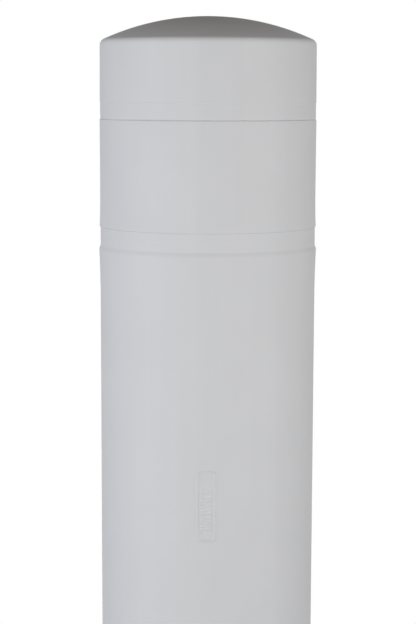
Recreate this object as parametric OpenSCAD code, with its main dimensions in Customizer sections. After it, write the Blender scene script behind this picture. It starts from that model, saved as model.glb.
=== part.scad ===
// Moulded plastic sleeve with a domed push-fit cap, for covering a steel pipe bollard.
// The origin is on the axis at ground level, +Z is up and the panel frame faces -Y.

/* [Post] */
// Outside diameter of the post that the sleeve covers
post_d = 273; // [168:1:330]
// Play between the post and the foam strips, on the radius
post_play = 0.3; // [0.1:0.1:1]

/* [Foam strips] */
// Thickness of a foam strip
foam_t = 6; // [3:0.5:12]
// Width of a foam strip, measured up the tube
foam_w = 25; // [12:1:50]
// Thickness of the glue film that holds a strip to the tube
glue_t = 0.1; // [0.1:0.1:0.3]
// Gap between the ends of neighbouring strips in a ring
foam_gap = 14; // [4:1:60]
// Height of the bottom ring above the ground
foam_bottom_z = 40; // [5:1:200]
// Distance of the top ring below the end of the cap's spigot
foam_top_drop = 50; // [5:1:200]

/* [Tube] */
// Height of the tube, from the ground to its top edge
tube_h = 1184.5; // [800:0.5:1800]
// Wall of the tube where it is plain
tube_wall = 3.2; // [2:0.1:6]
// How far the tube's top edge stands out from the plain tube
mouth_flare = 0.3; // [0.1:0.1:1]
// Chamfer on both outer edges of the joint between cap and tube
joint_chamfer = 0.5; // [0.2:0.1:0.8]

/* [Tube tape band] */
// Distance of the band below the tube's top edge
band_drop = 144; // [100:0.5:300]
// Height of the band, from edge to edge
band_h = 29.5; // [16:0.5:60]
// Depth of the band below the plain tube
band_depth = 0.3; // [0.1:0.1:1]
// Height over which the band's upper edge slopes
brow_slope_h = 1.5; // [0.5:0.5:7]
// Height over which the band's lower edge slopes
lip_slope_h = 3; // [0.5:0.5:7]
// How far the edge above the band stands out
brow_flare = 0.9; // [0.1:0.1:2]
// Height over which that edge fades into the plain tube
brow_h = 40; // [10:1:90]
// How far the lip below the band stands out
lip_flare = 1.8; // [0.1:0.1:3]
// Height over which that lip fades into the plain tube
lip_h = 72; // [10:1:150]

/* [Panel frame] */
// Width of the frame, over its outer edges
panel_w = 26; // [14:1:60]
// Height of the frame, over its outer edges
panel_h = 95; // [30:1:160]
// Height of the frame's middle above the ground
panel_z = 682; // [200:1:700]
// Width of the frame's raised line
panel_line_w = 3.2; // [1:0.1:4]
// Height of that line above the plain tube
panel_line_t = 1; // [0.2:0.1:1.5]
// Radius of the frame's outer corners
panel_corner_r = 5; // [4.5:0.5:6.5]

/* [Cap] */
// Height of the cap's straight side, from the joint to the rim
cap_side_h = 98.5; // [50:0.5:200]
// Height of the crown, from the rim to the top of the dome
crown_h = 38; // [25:0.5:90]
// Radius of the rounded rim
rim_r = 8; // [7:0.5:20]
// How much narrower the cap is at its rim than at its band, on the radius
cap_draft = 0.3; // [0.1:0.1:1]
// Wall of the cap
cap_wall = 3.2; // [2:0.1:6]
// Height of the cap's tape band above the joint
cap_band_h = 22.5; // [16:0.5:40]
// Depth of the cap's tape band
cap_band_depth = 0.5; // [0.1:0.1:1]
// Height over which the upper edge of that band slopes
cap_band_slope_h = 0.8; // [0.4:0.2:10]
// Height of the thick ring that carries the spigot
shoulder_h = 4; // [2:0.5:10]

/* [Cap spigot] */
// Length of the spigot that plugs into the tube
spigot_h = 45; // [20:1:80]
// Clearance between the spigot's ribs and the tube, on the radius
spigot_play = 0.3; // [0.2:0.1:0.8]
// Wall of the spigot between its ribs
spigot_wall = 3; // [2:0.1:5]
// Number of grip ribs round the spigot
rib_count = 12; // [4:1:24]
// Width of a rib
rib_w = 6; // [2:0.5:15]
// Height of a rib above the spigot
rib_t = 0.6; // [0.2:0.1:1.5]
// Height of the tapered lead at the spigot's lower end
lead_h = 4; // [1:0.5:10]

/* [Hidden] */
// Rings of strips from the ground up, and the strips of one ring in turn from the rear
RINGS = ["bottom", "middle", "top"];
SIDES = ["left", "front", "right"];

$fn = 144;
cut_over = 1;
curve_steps = 8;
rear_angle = 90;
sleeve_grey = [0.78, 0.79, 0.80];
foam_grey = [0.16, 0.16, 0.17];

// Radii, from the post outwards
foam_in_r = post_d / 2 + post_play;
bore_r = foam_in_r + foam_t + glue_t;
tube_r = bore_r + tube_wall;
band_r = tube_r - band_depth;
mouth_r = tube_r + mouth_flare;

// Heights on the tube
brow_z = tube_h - band_drop;
lip_z = brow_z - band_h;
waist_z = brow_z + brow_h;

// Foam rings
foam_top_z = tube_h - spigot_h - foam_top_drop - foam_w;
foam_z = [foam_bottom_z, (foam_bottom_z + foam_top_z) / 2, foam_top_z];
strip_pitch = 360 / len(SIDES);
gap_angle = foam_gap / foam_in_r * 180 / PI;

// Spigot
rib_r = bore_r - spigot_play;
spigot_r = rib_r - rib_t;
spigot_in_r = spigot_r - spigot_wall;
rib_root_r = spigot_r - spigot_wall / 2;
spigot_z = tube_h - spigot_h;
rib_angle = rib_w / rib_r * 180 / PI;

// Cap, whose rim is an arc that touches both the straight side and the dome
cap_in_r = tube_r - cap_wall;
cap_band_r = tube_r - cap_band_depth;
rim_z = tube_h + cap_side_h;
rim_centre_r = tube_r - cap_draft - rim_r;
dome_r = (pow(rim_centre_r, 2) + pow(crown_h, 2) - pow(rim_r, 2)) / (2 * (crown_h - rim_r));
dome_centre_z = rim_z + crown_h - dome_r;
dome_edge_angle = asin(rim_centre_r / (dome_r - rim_r));

function strip_name(ring, side) = str("foam_", ring, "_", side);

function reversed(points) = [for (i = [len(points) - 1:-1:0]) points[i]];

// Points of a wall that leaves the plain tube at from_z and stands out by flare at to_z
function flare_points(from_z, to_z, flare) = [
    for (i = [1:curve_steps])
        let (t = i / curve_steps)
        [tube_r + flare * t * t, from_z + (to_z - from_z) * t]
];

function arc_points(centre, r, from_angle, to_angle) = [
    for (i = [0:curve_steps])
        let (a = from_angle + (to_angle - from_angle) * i / curve_steps)
        centre + r * [cos(a), sin(a)]
];

// Rim and dome, from the straight side to the top, set in by the given wall
function crown_points(inset) = concat(
    arc_points([rim_centre_r, rim_z], rim_r - inset, 0, 90 - dome_edge_angle),
    [for (i = [1:curve_steps])
        let (a = dome_edge_angle * (1 - i / curve_steps))
        [(dome_r - inset) * sin(a), dome_centre_z + (dome_r - inset) * cos(a)]]
);

// Outline of the panel frame, one corner arc after another, set in by the given width
function panel_points(inset) = [
    for (corner = [0:3])
        let (x = panel_w / 2 - panel_corner_r, z = panel_h / 2 - panel_corner_r)
        let (centre = [corner == 0 || corner == 3 ? x : -x, corner < 2 ? z : -z])
        each arc_points(centre, panel_corner_r - inset, 90 * corner, 90 * (corner + 1))
];

module tube_wall_ring() {
    rotate_extrude()
        polygon(concat(
            [[bore_r, 0], [tube_r, 0], [tube_r, lip_z - lip_h]],
            flare_points(lip_z - lip_h, lip_z, lip_flare),
            [[band_r, lip_z + lip_slope_h], [band_r, brow_z - brow_slope_h]],
            reversed(flare_points(waist_z, brow_z, brow_flare)),
            [[tube_r, waist_z]],
            flare_points(waist_z, tube_h - joint_chamfer, mouth_flare),
            [[mouth_r - joint_chamfer, tube_h], [bore_r, tube_h]]
        ));
}

// The frame starts inside the wall, so that it joins the tube all round
module panel_frame() {
    intersection() {
        translate([0, 0, panel_z])
            rotate([90, 0, 0])
            linear_extrude(tube_r + panel_line_t + cut_over)
            difference() {
                polygon(panel_points(0));
                polygon(panel_points(panel_line_w));
            }
        difference() {
            cylinder(r = tube_r + panel_line_t, h = tube_h);
            cylinder(r = tube_r - tube_wall / 2, h = tube_h);
        }
    }
}

module sleeve_tube() {
    color(sleeve_grey) {
        tube_wall_ring();
        panel_frame();
    }
}

module grip_rib() {
    rotate_extrude(angle = rib_angle)
        polygon([
            [rib_root_r, spigot_z + lead_h],
            [rib_r, spigot_z + 2 * lead_h],
            [rib_r, tube_h],
            [rib_root_r, tube_h]
        ]);
}

module dome_cap() {
    shoulder_z = tube_h + shoulder_h;
    color(sleeve_grey) {
        rotate_extrude()
            polygon(concat(
                [[spigot_r, tube_h], [cap_band_r - joint_chamfer, tube_h]],
                [[cap_band_r, tube_h + joint_chamfer]],
                [[cap_band_r, tube_h + cap_band_h - cap_band_slope_h]],
                [[tube_r, tube_h + cap_band_h]],
                crown_points(0),
                reversed(crown_points(cap_wall)),
                [[cap_in_r, shoulder_z + cap_in_r - spigot_in_r], [spigot_in_r, shoulder_z]],
                [[spigot_in_r, spigot_z], [spigot_r - rib_t, spigot_z]],
                [[spigot_r, spigot_z + lead_h]]
            ));
        for (i = [0:rib_count - 1])
            rotate([0, 0, (i * 360) / rib_count - rib_angle / 2])
                grip_rib();
    }
}

module foam_strip(ring, side) {
    color(foam_grey)
        rotate([0, 0, rear_angle + side * strip_pitch + gap_angle / 2])
        rotate_extrude(angle = strip_pitch - gap_angle)
        translate([foam_in_r, foam_z[ring]])
        square([foam_t, foam_w]);
}

sleeve_tube();
dome_cap();
for (ring = [0:len(RINGS) - 1])
    for (side = [0:len(SIDES) - 1])
        foam_strip(ring, side);
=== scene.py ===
"""Looks of the bollard cover sleeve: moulded grey plastic and foam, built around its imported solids."""

import math

import bpy
import numpy as np
from mathutils import Euler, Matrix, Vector


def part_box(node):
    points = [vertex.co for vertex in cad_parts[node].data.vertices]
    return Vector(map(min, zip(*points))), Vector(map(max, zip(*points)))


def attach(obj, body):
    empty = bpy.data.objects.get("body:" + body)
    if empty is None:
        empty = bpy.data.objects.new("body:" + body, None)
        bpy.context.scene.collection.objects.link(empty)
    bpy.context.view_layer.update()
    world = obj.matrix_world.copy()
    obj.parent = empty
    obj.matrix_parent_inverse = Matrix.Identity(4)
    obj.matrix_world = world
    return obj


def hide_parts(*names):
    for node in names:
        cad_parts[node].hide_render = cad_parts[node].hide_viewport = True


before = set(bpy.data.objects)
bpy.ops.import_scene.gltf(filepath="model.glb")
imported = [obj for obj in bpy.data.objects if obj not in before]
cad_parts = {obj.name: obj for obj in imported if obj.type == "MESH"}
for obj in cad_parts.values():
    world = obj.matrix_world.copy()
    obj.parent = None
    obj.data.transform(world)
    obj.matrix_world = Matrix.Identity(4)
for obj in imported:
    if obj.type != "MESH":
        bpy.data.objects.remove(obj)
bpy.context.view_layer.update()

# Lengths are in metres and angles in radians, in the frame of the solids.
MM = 0.001
TURN = 2 * math.pi
FRONT = -math.pi / 2
REAR = math.pi / 2
RINGS = ("bottom", "middle", "top")
SIDES = ("left", "front", "right")

# Heights of the solids, and the reach of the tube's lip
tube_low, tube_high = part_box("sleeve_tube")
cap_low, cap_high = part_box("dome_cap")
TUBE_H = tube_high.z
TOP_Z = cap_high.z
SPIGOT_Z = cap_low.z
LIP_R = min(-tube_low.x, -tube_low.y, tube_high.x, tube_high.y)

# Tube, whose joint with the cap shows as a narrow open gap
TUBE_R = 146.1 * MM
WALL = 3.2 * MM
BORE_R = TUBE_R - WALL
MOUTH_FLARE = 0.3 * MM
SHADOW_GAP = 0.6 * MM
SHADOW_GAP_DEPTH = 1.5 * MM

# Tape band on the tube, with the brow above it and the lip below it
BAND_DROP = 144 * MM
BAND_H = 29.5 * MM
BAND_DEPTH = 0.3 * MM
BAND_R = TUBE_R - BAND_DEPTH
BROW_H = 40 * MM
BROW_SLOPE_H = 1.5 * MM
BROW_FLARE = 0.9 * MM
BROW_Z = TUBE_H - BAND_DROP
WAIST_Z = BROW_Z + BROW_H
LIP_H = 72 * MM
LIP_SLOPE_H = 3 * MM
LIP_FLARE = LIP_R - TUBE_R
LIP_Z = BROW_Z - BAND_H
LIP_FOOT_Z = LIP_Z - LIP_H
# The lip's edge rolls over in a soft S about the middle of its slope
LIP_ROLL_H = 7 * MM
LIP_ROLL_Z = LIP_Z + (LIP_SLOPE_H - LIP_ROLL_H) / 2
LIP_ROLL_FLARE = LIP_FLARE * ((LIP_ROLL_Z - LIP_FOOT_Z) / LIP_H) ** 2

# Raised frame of the marking panel, and the plain ticks in it, above and below its middle
PANEL_W = 26 * MM
PANEL_H = 95 * MM
PANEL_Z = 682 * MM
PANEL_CORNER_R = 5 * MM
PANEL_LINE_W = 3.2 * MM
PANEL_LINE_T = 1 * MM
TICK_T = 0.7 * MM
TICK_EDGE = 0.8 * MM
TICK_RISE = 25 * MM
TICK_DROP = 39 * MM
TICK_TOP_Z = PANEL_Z + TICK_RISE
TICK_BOTTOM_Z = PANEL_Z - TICK_DROP
# Each column as its middle, its width, and the pitch of its ticks
TICK_COLUMNS = ((-4.9 * MM, 5 * MM, 4.2 * MM), (3.8 * MM, 7.4 * MM, 5.4 * MM))

# Cap, with the solid's dome on a slightly softer rim
CAP_BAND_H = 22.5 * MM
CAP_BAND_DEPTH = 0.5 * MM
CAP_BAND_SLOPE_H = 0.8 * MM
CAP_BAND_R = TUBE_R - CAP_BAND_DEPTH
CAP_BAND_Z = TUBE_H + CAP_BAND_H
CAP_DRAFT = 0.3 * MM
SHOULDER_H = 4 * MM
SHOULDER_Z = TUBE_H + SHOULDER_H
CROWN_H = 39 * MM
RIM_R = 9.5 * MM
RIM_Z = TOP_Z - CROWN_H
RIM_CENTRE_R = TUBE_R - CAP_DRAFT - RIM_R
DOME_R = (RIM_CENTRE_R**2 + CROWN_H**2 - RIM_R**2) / (2 * (CROWN_H - RIM_R))
DOME_CENTRE_Z = TOP_Z - DOME_R
DOME_EDGE = math.asin(RIM_CENTRE_R / (DOME_R - RIM_R))

# Spigot of the cap, with its grip ribs
SPIGOT_PLAY = 0.3 * MM
SPIGOT_WALL = 3 * MM
RIB_COUNT = 12
RIB_W = 6 * MM
RIB_T = 0.6 * MM
LEAD_H = 4 * MM
SPIGOT_R = BORE_R - SPIGOT_PLAY - RIB_T
SPIGOT_IN_R = SPIGOT_R - SPIGOT_WALL

# Foam strips, each held by a film of glue
GLUE_T = 0.1 * MM
FOAM_T = 6 * MM
FOAM_GAP = 14 * MM
FOAM_OUT_R = BORE_R - GLUE_T
FOAM_IN_R = FOAM_OUT_R - FOAM_T

# Rounding of the edges at the joint, of the other edges, of the cap's band and of the foam
EDGE_R = 0.8 * MM
FINE_EDGE_R = 0.4 * MM
CAP_BAND_EDGE_R = 0.2 * MM
FOAM_EDGE_R = 0.8 * MM

# Fineness of the meshes, which are densest round the panel
BASE_ANGLES = 180
LEAST_ANGLE = 1e-4
SHARP_ANGLE = math.radians(35)
CURVE_STEPS = 16
CORNER_STEPS = 6
LOWER_WALL_STEPS = 12
UPPER_WALL_STEPS = 6
BORE_STEPS = 8
SPIGOT_STEPS = 10
RIB_EDGE_STEPS = 4
STRIP_STEPS = 60
FLOOR_ANGLES = 96
PANEL_STEP = 0.4 * MM
PANEL_MARGIN = 2 * MM

# Plastic, with colours in 8-bit sRGB and detail of 1/scale metres
PLASTIC_DARK = (200, 201, 203)
PLASTIC_LIGHT = (205, 206, 208)
PLASTIC_STREAK = (188, 189, 191)
PLASTIC_SPECULAR = 0.15
MOTTLE_SCALE = 14
STREAK_SCALE = 45
STREAK_STRETCH = 40
STREAK_SHARE = (0, 0.1)
GRAIN_SCALE = 900
GRAIN_ROUGHNESS = (0.66, 0.78)
GRAIN_BUMP = 0.12
GRAIN_DEPTH = 0.2 * MM

# Foam, in the same units
FOAM_DARK = (66, 66, 69)
FOAM_LIGHT = (88, 88, 91)
FOAM_PORE = (48, 48, 50)
FOAM_SPECULAR = 0.2
FOAM_ROUGHNESS = 0.9
FOAM_MOTTLE_SCALE = 120
PORE_SCALE = 900
PORE_BUMP = 0.5
PORE_DEPTH = 0.3 * MM

# Layers of a noise, and the usual spread of its values
NOISE_DETAIL = 3
STREAK_DETAIL = 2
NOISE_SPREAD = (0.3, 0.7)

# Places of a mix node's colours among its inputs, and of their mix among its outputs
MIX_FIRST = 6
MIX_SECOND = 7
MIX_RESULT = 2

# Camera that matches the photograph, with the picture's own sizes in pixels
PHOTO_W = 416
PHOTO_H = 624
LENS_PX = 1866
AXIS_PX = 207.3
PRINCIPAL_Y_PX = 360
SENSOR_MM = 36
CAMERA_TURN = math.radians(0.5)
CAMERA_TILT = math.radians(8.28)
CAMERA_ROLL = math.radians(0.172)
CAMERA_DISTANCE = 2543.6 * MM
CAMERA_DROP = 95.9 * MM
CAMERA_Z = TOP_Z - CAMERA_DROP

# Light, at a level that shows the colours as written
WHITE = (1.0, 1.0, 1.0)
COOL = (0.94, 0.98, 1.08)
# Belt of light round the horizon, with heights on a unit sphere, which leans to be brighter in front
BELT_MIDDLE = 0.08
BELT_FADE = (0.15, 0.28)
BELT_LEAN = 0.4
BELT_LEVEL = 0.865
REST_COLOUR = (1.0, 0.8, 0.65)
REST_LEVEL = 0.08
# Each softbox as its name, its degrees from the front to the right, its power and its colour
SOFTBOXES = (
    ("left_side", -75, 19.4, COOL),
    ("left_front", -30, 16, WHITE),
    ("right_front", 30, 15.6, WHITE),
    ("right_side", 75, 14.1, WHITE),
    ("rear", 180, 38, WHITE),
)
SOFTBOX_SIZE = 0.9
SOFTBOX_DISTANCE = 2.4
SOFTBOX_Z = 0.87
# Lamp under the open foot, for the inside
FOOT_LAMP_SIZE = 0.3
FOOT_LAMP_Z = -0.8
FOOT_LAMP_POWER = 12

# Floor, with its level to the eye and to bounced light, and a glow that rises from the foot outwards
FLOOR_R = 1.5
FLOOR_SEEN = 0.9
FLOOR_BOUNCE = 0.12
FLOOR_GLOW = (0.36, 0.75)
SHADOW_R = 1.1


def spread(start, end, steps):
    """Evenly spaced values from start to end, without the start."""
    return [start + (end - start) * i / steps for i in range(1, steps + 1)]


def ramp(value):
    """Smooth rise from 0 to 1."""
    t = np.clip(value, 0, 1)
    return t * t * (3 - 2 * t)


def arc(centre, radius, start, end, steps):
    """Points of an arc in the (r, z) plane, both ends included."""
    return [
        (centre[0] + radius * math.cos(a), centre[1] + radius * math.sin(a))
        for a in [start, *spread(start, end, steps)]
    ]


def wall(radius, start, end, steps):
    """Points of a straight wall, without its start."""
    return [(radius, z) for z in spread(start, end, steps)]


def flare(from_z, to_z, height):
    """Points of a wall that leaves the plain tube at from_z and stands out by height at to_z."""
    return [
        (TUBE_R + height * t * t, from_z + (to_z - from_z) * t)
        for t in spread(0, 1, CURVE_STEPS)
    ]


def roll(start, end):
    """Points of a soft S from start to end, without its start."""
    return [
        (start[0] + (end[0] - start[0]) * float(ramp(t)), start[1] + (end[1] - start[1]) * t)
        for t in spread(0, 1, CURVE_STEPS)
    ]


def round_corners(points, corners):
    """The closed outline with each corner, given as (point, radius), replaced by a small curve."""
    for point, radius in corners:
        index = points.index(point)
        around = (index - 1, index, index + 1)
        before, corner, after = (Vector(points[i % len(points)]) for i in around)
        start = corner + (before - corner).normalized() * min(radius, (before - corner).length / 2)
        end = corner + (after - corner).normalized() * min(radius, (after - corner).length / 2)
        curve = [
            tuple(start * (1 - t) ** 2 + corner * 2 * t * (1 - t) + end * t * t)
            for t in [0, *spread(0, 1, CORNER_STEPS)]
        ]
        points = points[:index] + curve + points[index + 1 :]
    return points


def even_angles(count):
    return [TURN * i / count for i in range(count)]


def joined_angles(*groups):
    """All the angles of the groups within one turn, in order, without near doubles."""
    values = sorted(a % TURN for group in groups for a in group)
    before = [values[-1] - TURN, *values]
    return [a for a, last in zip(values, before) if a - last > LEAST_ANGLE]


def ring_faces(rings, n, spans, sides):
    """Quads that join rings of n points: as many spans as given, each with as many sides as given."""
    faces = []
    for i in range(spans):
        here, there = i * n, (i + 1) % rings * n
        for k in range(sides):
            m = (k + 1) % n
            faces.append((here + k, there + k, there + m, here + m))
    return faces


def make_object(name, verts, faces):
    mesh = bpy.data.meshes.new(name)
    mesh.from_pydata(verts, [], faces)
    mesh.shade_smooth()
    mesh.set_sharp_from_angle(angle=SHARP_ANGLE)
    obj = bpy.data.objects.new(name, mesh)
    bpy.context.scene.collection.objects.link(obj)
    return obj


def lathe(name, outline, angles, relief):
    """Mesh of an outline of (r, z) points turned through the angles; relief(angle, r, z) adds to r.

    The outline runs up the outside, and is a closed loop or starts and ends on the axis.
    """
    on_axis = outline[0][0] == 0
    ring = np.array(outline[1:-1] if on_axis else outline)
    n, count = len(ring), len(angles)
    a, r = np.meshgrid(angles, ring[:, 0], indexing="ij")
    z = np.tile(ring[:, 1], (count, 1))
    r = r + relief(a, r, z)
    verts = np.stack([r * np.cos(a), r * np.sin(a), z], axis=-1).reshape(-1, 3).tolist()
    faces = ring_faces(count, n, count, n - 1 if on_axis else n)
    if on_axis:
        verts += [(0, 0, outline[0][1]), (0, 0, outline[-1][1])]
        for i in range(count):
            here, there = i * n, (i + 1) % count * n
            faces.append((count * n, there, here))
            faces.append((here + n - 1, there + n - 1, count * n + 1))
    return make_object(name, verts, faces)


def bulge(offset, width):
    """Height of a half-round bead of the given width, from 0 at its sides to 1 on its crest."""
    return np.sqrt((1 - (2 * offset / width) ** 2).clip(0))


def panel_relief(angle, z):
    """Height of the panel's frame and ticks above the plain tube."""
    across = ((angle - FRONT + math.pi) % TURN - math.pi) * TUBE_R
    over_x = np.abs(across) - PANEL_W / 2 + PANEL_CORNER_R
    over_z = np.abs(z - PANEL_Z) - PANEL_H / 2 + PANEL_CORNER_R
    from_corner = np.hypot(over_x.clip(0), over_z.clip(0)) + np.maximum(over_x, over_z).clip(None, 0)
    inset = PANEL_CORNER_R - from_corner
    line = PANEL_LINE_T * bulge(inset - PANEL_LINE_W / 2, PANEL_LINE_W)
    ticks = np.zeros_like(line)
    for middle, width, pitch in TICK_COLUMNS:
        count = int((TICK_TOP_Z - TICK_BOTTOM_Z) / pitch)
        along = np.abs((TICK_TOP_Z - z) % pitch - pitch / 2)
        on = (z < TICK_TOP_Z) & (z > TICK_TOP_Z - count * pitch)
        tick = TICK_T * bulge(across - middle, width) * ramp((pitch / 4 - along) / TICK_EDGE + 0.5)
        ticks = np.maximum(ticks, np.where(on, tick, 0))
    return np.maximum(line, ticks)


def tube_relief(angle, r, z):
    """The panel, on the outside of the tube only."""
    return np.where(r > BORE_R + WALL / 2, panel_relief(angle, z), 0)


def make_tube():
    """Tube with its foot, lip, tape band, brow and mouth, and the panel on its front."""
    panel_top = PANEL_Z + PANEL_H / 2 + PANEL_MARGIN
    panel_bottom = PANEL_Z - PANEL_H / 2 - PANEL_MARGIN
    panel_rows = round((panel_top - panel_bottom) / PANEL_STEP)
    foot, foot_in = (TUBE_R, 0), (BORE_R, 0)
    lip, band_low = (TUBE_R + LIP_ROLL_FLARE, LIP_ROLL_Z), (BAND_R, LIP_ROLL_Z + LIP_ROLL_H)
    brow, band_high = (TUBE_R + BROW_FLARE, BROW_Z), (BAND_R, BROW_Z - BROW_SLOPE_H)
    mouth, mouth_in = (TUBE_R + MOUTH_FLARE, TUBE_H - SHADOW_GAP), (BORE_R, TUBE_H)
    gap_r = TUBE_R - SHADOW_GAP_DEPTH
    outline = [
        foot,
        *wall(TUBE_R, 0, panel_bottom, LOWER_WALL_STEPS),
        *wall(TUBE_R, panel_bottom, panel_top, panel_rows),
        *wall(TUBE_R, panel_top, LIP_FOOT_Z, UPPER_WALL_STEPS),
        *flare(LIP_FOOT_Z, LIP_ROLL_Z, LIP_ROLL_FLARE),
        *roll(lip, band_low),
        band_high,
        brow,
        *flare(WAIST_Z, BROW_Z, BROW_FLARE)[-2::-1],
        (TUBE_R, WAIST_Z),
        *flare(WAIST_Z, TUBE_H - SHADOW_GAP, MOUTH_FLARE)[:-1],
        mouth,
        (gap_r, TUBE_H - SHADOW_GAP),
        (gap_r, TUBE_H),
        mouth_in,
        *wall(BORE_R, TUBE_H, 0, BORE_STEPS)[:-1],
        foot_in,
    ]
    corners = [(corner, FINE_EDGE_R) for corner in (foot, foot_in, brow, band_high)]
    corners += [(mouth, EDGE_R), (mouth_in, EDGE_R)]
    half = PANEL_W / 2 + PANEL_MARGIN
    panel_angles = [FRONT + s / TUBE_R for s in np.arange(-half, half, PANEL_STEP)]
    angles = joined_angles(even_angles(BASE_ANGLES), panel_angles)
    return lathe("tube_shell", round_corners(outline, corners), angles, tube_relief)


def rib_relief(angle, r, z):
    """Grip ribs on the outside of the spigot."""
    pitch = TURN / RIB_COUNT
    across = np.abs((angle + pitch / 2) % pitch - pitch / 2) * SPIGOT_R
    height = RIB_T * ramp((z - SPIGOT_Z - LEAD_H) / LEAD_H) * ramp((RIB_W / 2 - across) / RIB_T)
    return np.where((np.abs(r - SPIGOT_R) < RIB_T / 4) & (z <= TUBE_H), height, 0)


def crown(inset):
    """Rim and dome from the straight side to just short of the axis, set in by the given wall."""
    edge = math.pi / 2 - DOME_EDGE
    rim = arc((RIM_CENTRE_R, RIM_Z), RIM_R - inset, 0, edge, CURVE_STEPS)
    dome = arc((0, DOME_CENTRE_Z), DOME_R - inset, edge, math.pi / 2, 2 * CURVE_STEPS)
    return rim + dome[1:-1]


def make_cap():
    """Hollow cap with its dome, rim and tape band, and the ribbed spigot below."""
    joint, lead = (CAP_BAND_R, TUBE_H), (SPIGOT_R - RIB_T, SPIGOT_Z)
    band_high, side_low = (CAP_BAND_R, CAP_BAND_Z - CAP_BAND_SLOPE_H), (TUBE_R, CAP_BAND_Z)
    outline = [
        (0, TOP_Z),
        *crown(0)[::-1],
        side_low,
        band_high,
        joint,
        (SPIGOT_R, TUBE_H),
        *wall(SPIGOT_R, TUBE_H, SPIGOT_Z + LEAD_H, SPIGOT_STEPS),
        lead,
        (SPIGOT_IN_R, SPIGOT_Z),
        (SPIGOT_IN_R, SHOULDER_Z),
        (BORE_R, SHOULDER_Z + BORE_R - SPIGOT_IN_R),
        *crown(WALL),
        (0, TOP_Z - WALL),
    ]
    corners = [(joint, EDGE_R), (band_high, CAP_BAND_EDGE_R)]
    corners += [(side_low, CAP_BAND_EDGE_R), (lead, FINE_EDGE_R)]
    pitch = TURN / RIB_COUNT
    offsets = [RIB_W / 2 - RIB_T * k / RIB_EDGE_STEPS for k in range(RIB_EDGE_STEPS + 1)]
    rib_angles = [
        i * pitch + side * offset / SPIGOT_R
        for i in range(RIB_COUNT)
        for side in (-1, 1)
        for offset in offsets
    ]
    angles = joined_angles(even_angles(BASE_ANGLES), rib_angles)
    return lathe("cap_shell", round_corners(outline, corners)[::-1], angles, rib_relief)


def make_strip(node, side):
    """One foam strip, bent to the tube, with soft edges."""
    low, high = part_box(node)
    corners = [(FOAM_IN_R, low.z), (FOAM_OUT_R, low.z), (FOAM_OUT_R, high.z), (FOAM_IN_R, high.z)]
    outline = round_corners(corners, [(corner, FOAM_EDGE_R) for corner in corners])
    gap = FOAM_GAP / FOAM_IN_R
    start = REAR + side * TURN / len(SIDES) + gap / 2
    end = REAR + (side + 1) * TURN / len(SIDES) - gap / 2
    angles = [start, *spread(start, end, STRIP_STEPS)]
    verts = [(r * math.cos(a), r * math.sin(a), z) for a in angles for r, z in outline]
    n = len(outline)
    ends = [tuple(range(n)), tuple(range(len(verts) - 1, len(verts) - n - 1, -1))]
    return make_object(f"{node}_pad", verts, ends + ring_faces(len(angles), n, STRIP_STEPS, n))


def linear(srgb):
    """Linear colour of an 8-bit sRGB one, by the standard's formula."""
    parts = [c / 255 for c in srgb]
    return tuple(c / 12.92 if c <= 0.04045 else ((c + 0.055) / 1.055) ** 2.4 for c in parts)


def remapped(nodes, links, value, before, after=(0, 1), curve="LINEAR"):
    """A value moved from one range, given by its ends, to another."""
    node = nodes.new("ShaderNodeMapRange")
    node.interpolation_type = curve
    names = ("From Min", "From Max", "To Min", "To Max")
    for name, number in zip(names, (*before, *after)):
        node.inputs[name].default_value = number
    links.new(value, node.inputs["Value"])
    return node.outputs["Result"]


class Shading:
    """Short ways to add nodes to a material."""

    def __init__(self, name):
        self.material = bpy.data.materials.new(name)
        self.material.use_nodes = True
        self.nodes = self.material.node_tree.nodes
        self.links = self.material.node_tree.links
        self.inputs = self.nodes["Principled BSDF"].inputs
        self.coords = self.nodes.new("ShaderNodeTexCoord").outputs["Object"]

    def noise(self, scale, detail=NOISE_DETAIL, stretch=1):
        """Noise with features of 1/scale metres, drawn out along Z by stretch."""
        mapping = self.nodes.new("ShaderNodeMapping")
        mapping.inputs["Scale"].default_value = (1, 1, 1 / stretch)
        self.links.new(self.coords, mapping.inputs["Vector"])
        texture = self.nodes.new("ShaderNodeTexNoise")
        texture.inputs["Scale"].default_value = scale
        texture.inputs["Detail"].default_value = detail
        self.links.new(mapping.outputs["Vector"], texture.inputs["Vector"])
        return texture.outputs["Fac"]

    def ranged(self, noise, ends):
        """A noise moved from its usual spread to the given ends."""
        return remapped(self.nodes, self.links, noise, NOISE_SPREAD, ends)

    def mixed(self, factor, first, second):
        """Mix of two colours, the first of which may be a socket."""
        node = self.nodes.new("ShaderNodeMix")
        node.data_type = "RGBA"
        self.links.new(factor, node.inputs[0])
        if isinstance(first, tuple):
            node.inputs[MIX_FIRST].default_value = (*first, 1)
        else:
            self.links.new(first, node.inputs[MIX_FIRST])
        node.inputs[MIX_SECOND].default_value = (*second, 1)
        return node.outputs[MIX_RESULT]

    def bump(self, height, strength, distance):
        node = self.nodes.new("ShaderNodeBump")
        node.inputs["Strength"].default_value = strength
        node.inputs["Distance"].default_value = distance
        self.links.new(height, node.inputs["Height"])
        self.links.new(node.outputs["Normal"], self.inputs["Normal"])


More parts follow.
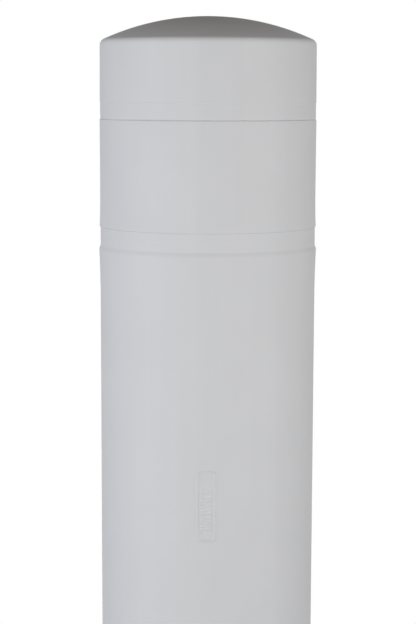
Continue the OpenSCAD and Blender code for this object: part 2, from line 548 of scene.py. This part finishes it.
def plastic():
    """Matte moulded polyethylene with faint mottling, flow streaks and a fine grain."""
    shading = Shading("moulded_plastic")
    mottle = shading.noise(MOTTLE_SCALE)
    colour = shading.mixed(mottle, linear(PLASTIC_DARK), linear(PLASTIC_LIGHT))
    flow = shading.noise(STREAK_SCALE, STREAK_DETAIL, STREAK_STRETCH)
    streaks = shading.ranged(flow, STREAK_SHARE)
    colour = shading.mixed(streaks, colour, linear(PLASTIC_STREAK))
    shading.links.new(colour, shading.inputs["Base Color"])
    grain = shading.noise(GRAIN_SCALE)
    shading.links.new(shading.ranged(grain, GRAIN_ROUGHNESS), shading.inputs["Roughness"])
    shading.inputs["Specular IOR Level"].default_value = PLASTIC_SPECULAR
    shading.bump(grain, GRAIN_BUMP, GRAIN_DEPTH)
    return shading.material


def foam():
    """Charcoal closed-cell foam with fine pores."""
    shading = Shading("closed_cell_foam")
    cells = shading.nodes.new("ShaderNodeTexVoronoi")
    cells.inputs["Scale"].default_value = PORE_SCALE
    shading.links.new(shading.coords, cells.inputs["Vector"])
    pores = cells.outputs["Distance"]
    mottle = shading.noise(FOAM_MOTTLE_SCALE)
    colour = shading.mixed(mottle, linear(FOAM_DARK), linear(FOAM_LIGHT))
    colour = shading.mixed(pores, colour, linear(FOAM_PORE))
    shading.links.new(colour, shading.inputs["Base Color"])
    shading.inputs["Roughness"].default_value = FOAM_ROUGHNESS
    shading.inputs["Specular IOR Level"].default_value = FOAM_SPECULAR
    shading.bump(pores, PORE_BUMP, PORE_DEPTH)
    return shading.material


def dress(obj, material, body, node):
    """Give a piece its material and the body it moves with, and hide the solid that it stands for."""
    obj.data.materials.append(material)
    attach(obj, body)
    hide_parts(node)


def make_camera():
    data = bpy.data.cameras.new("camera")
    data.sensor_width = SENSOR_MM
    data.lens = LENS_PX / PHOTO_H * SENSOR_MM
    data.shift_y = (PRINCIPAL_Y_PX - PHOTO_H / 2) / PHOTO_H
    camera = bpy.data.objects.new("camera", data)
    camera.location = (
        CAMERA_DISTANCE * math.sin(CAMERA_TURN),
        -CAMERA_DISTANCE * math.cos(CAMERA_TURN),
        CAMERA_Z,
    )
    yaw = CAMERA_TURN - (PHOTO_W / 2 - AXIS_PX) / LENS_PX
    aim = Euler((math.pi / 2 - CAMERA_TILT, 0, yaw)).to_matrix()
    camera.rotation_euler = (aim @ Euler((0, 0, CAMERA_ROLL)).to_matrix()).to_euler()
    bpy.context.scene.collection.objects.link(camera)
    bpy.context.scene.camera = camera


def seen_directly(nodes, links):
    """One where a camera, glossy or transmission ray looks, and zero for light on surfaces."""
    path = nodes.new("ShaderNodeLightPath")
    total = path.outputs["Is Camera Ray"]
    for name in ("Is Glossy Ray", "Is Transmission Ray"):
        join = nodes.new("ShaderNodeMath")
        join.operation = "MAXIMUM"
        links.new(total, join.inputs[0])
        links.new(path.outputs[name], join.inputs[1])
        total = join.outputs["Value"]
    return total


def blended(nodes, links, factor, first, second):
    mix = nodes.new("ShaderNodeMixShader")
    links.new(factor, mix.inputs["Fac"])
    links.new(first, mix.inputs[1])
    links.new(second, mix.inputs[2])
    return mix.outputs["Shader"]


def make_world():
    """A bright belt of light round the horizon, dim above and below it, with a white background."""
    world = bpy.data.worlds.new("studio")
    bpy.context.scene.world = world
    world.use_nodes = True
    nodes, links = world.node_tree.nodes, world.node_tree.links
    nodes.clear()

    def background(colour, strength=1):
        node = nodes.new("ShaderNodeBackground")
        node.inputs["Color"].default_value = (*colour, 1)
        node.inputs["Strength"].default_value = strength
        return node.outputs["Background"]

    def calculated(operation, value, *numbers):
        node = nodes.new("ShaderNodeMath")
        node.operation = operation
        links.new(value, node.inputs[0])
        for socket, number in zip(node.inputs[1:], numbers):
            socket.default_value = number
        return node.outputs["Value"]

    split = nodes.new("ShaderNodeSeparateXYZ")
    links.new(nodes.new("ShaderNodeTexCoord").outputs["Generated"], split.inputs["Vector"])
    height = calculated("ABSOLUTE", calculated("SUBTRACT", split.outputs["Z"], BELT_MIDDLE))
    fade = remapped(nodes, links, height, BELT_FADE, curve="SMOOTHSTEP")
    belt, rest, white = background(WHITE), background(REST_COLOUR, REST_LEVEL), background(WHITE)
    slope = -BELT_LEAN * BELT_LEVEL
    strength = calculated("MULTIPLY_ADD", split.outputs["Y"], slope, BELT_LEVEL)
    links.new(strength, belt.node.inputs["Strength"])
    light = blended(nodes, links, fade, belt, rest)
    surface = blended(nodes, links, seen_directly(nodes, links), light, white)
    links.new(surface, nodes.new("ShaderNodeOutputWorld").inputs["Surface"])


def make_floor():
    """Floor that looks white apart from the shadow on it.

    It is open under the foot and doesn't show from below, so that the inside can be seen.
    """
    angles = even_angles(FLOOR_ANGLES)
    radii = (TUBE_R - EDGE_R, FLOOR_R)
    rims = [(r * math.cos(a), r * math.sin(a), 0) for r in radii for a in angles]
    floor = make_object("floor", rims, ring_faces(len(radii), FLOOR_ANGLES, 1, FLOOR_ANGLES))
    material = bpy.data.materials.new("pale_floor")
    material.use_nodes = True
    nodes, links = material.node_tree.nodes, material.node_tree.links
    nodes.remove(nodes["Principled BSDF"])

    def diffuse(level):
        node = nodes.new("ShaderNodeBsdfDiffuse")
        node.inputs["Color"].default_value = (level, level, level, 1)
        return node.outputs["BSDF"]

    geometry = nodes.new("ShaderNodeNewGeometry")
    distance = nodes.new("ShaderNodeVectorMath")
    distance.operation = "LENGTH"
    links.new(geometry.outputs["Position"], distance.inputs[0])
    reach = (TUBE_R, SHADOW_R)
    strength = remapped(nodes, links, distance.outputs["Value"], reach, FLOOR_GLOW, "SMOOTHSTEP")
    glow = nodes.new("ShaderNodeEmission")
    links.new(strength, glow.inputs["Strength"])
    seen = nodes.new("ShaderNodeAddShader")
    links.new(diffuse(FLOOR_SEEN), seen.inputs[0])
    links.new(glow.outputs["Emission"], seen.inputs[1])
    bounce = diffuse(FLOOR_BOUNCE)
    above = blended(nodes, links, seen_directly(nodes, links), bounce, seen.outputs["Shader"])
    clear = nodes.new("ShaderNodeBsdfTransparent").outputs["BSDF"]
    surface = blended(nodes, links, geometry.outputs["Backfacing"], above, clear)
    links.new(surface, nodes["Material Output"].inputs["Surface"])
    floor.data.materials.append(material)


def make_lamp(name, location, rotation, size, power, colour):
    data = bpy.data.lights.new(name, "AREA")
    data.size = size
    data.energy = power
    data.color = colour
    lamp = bpy.data.objects.new(name, data)
    lamp.location = location
    lamp.rotation_euler = rotation
    bpy.context.scene.collection.objects.link(lamp)


def make_softbox(name, azimuth, power, colour):
    """Lamp that stands round the sleeve at an angle from the front, positive to the right."""
    location = (
        SOFTBOX_DISTANCE * math.sin(azimuth),
        -SOFTBOX_DISTANCE * math.cos(azimuth),
        SOFTBOX_Z,
    )
    make_lamp(name, location, (math.pi / 2, 0, azimuth), SOFTBOX_SIZE, power, colour)


make_camera()
make_world()
make_floor()
for name, degrees, power, colour in SOFTBOXES:
    make_softbox(name, math.radians(degrees), power, colour)
make_lamp("foot", (0, 0, FOOT_LAMP_Z), (math.pi, 0, 0), FOOT_LAMP_SIZE, FOOT_LAMP_POWER, WHITE)

grey = plastic()
charcoal = foam()
dress(make_tube(), grey, "sleeve", "sleeve_tube")
dress(make_cap(), grey, "cap", "dome_cap")
for ring in RINGS:
    for i, side in enumerate(SIDES):
        strip = make_strip(f"foam_{ring}_{side}", i)
        dress(strip, charcoal, "sleeve", f"foam_{ring}_{side}")

bpy.context.scene.view_settings.view_transform = "Standard"
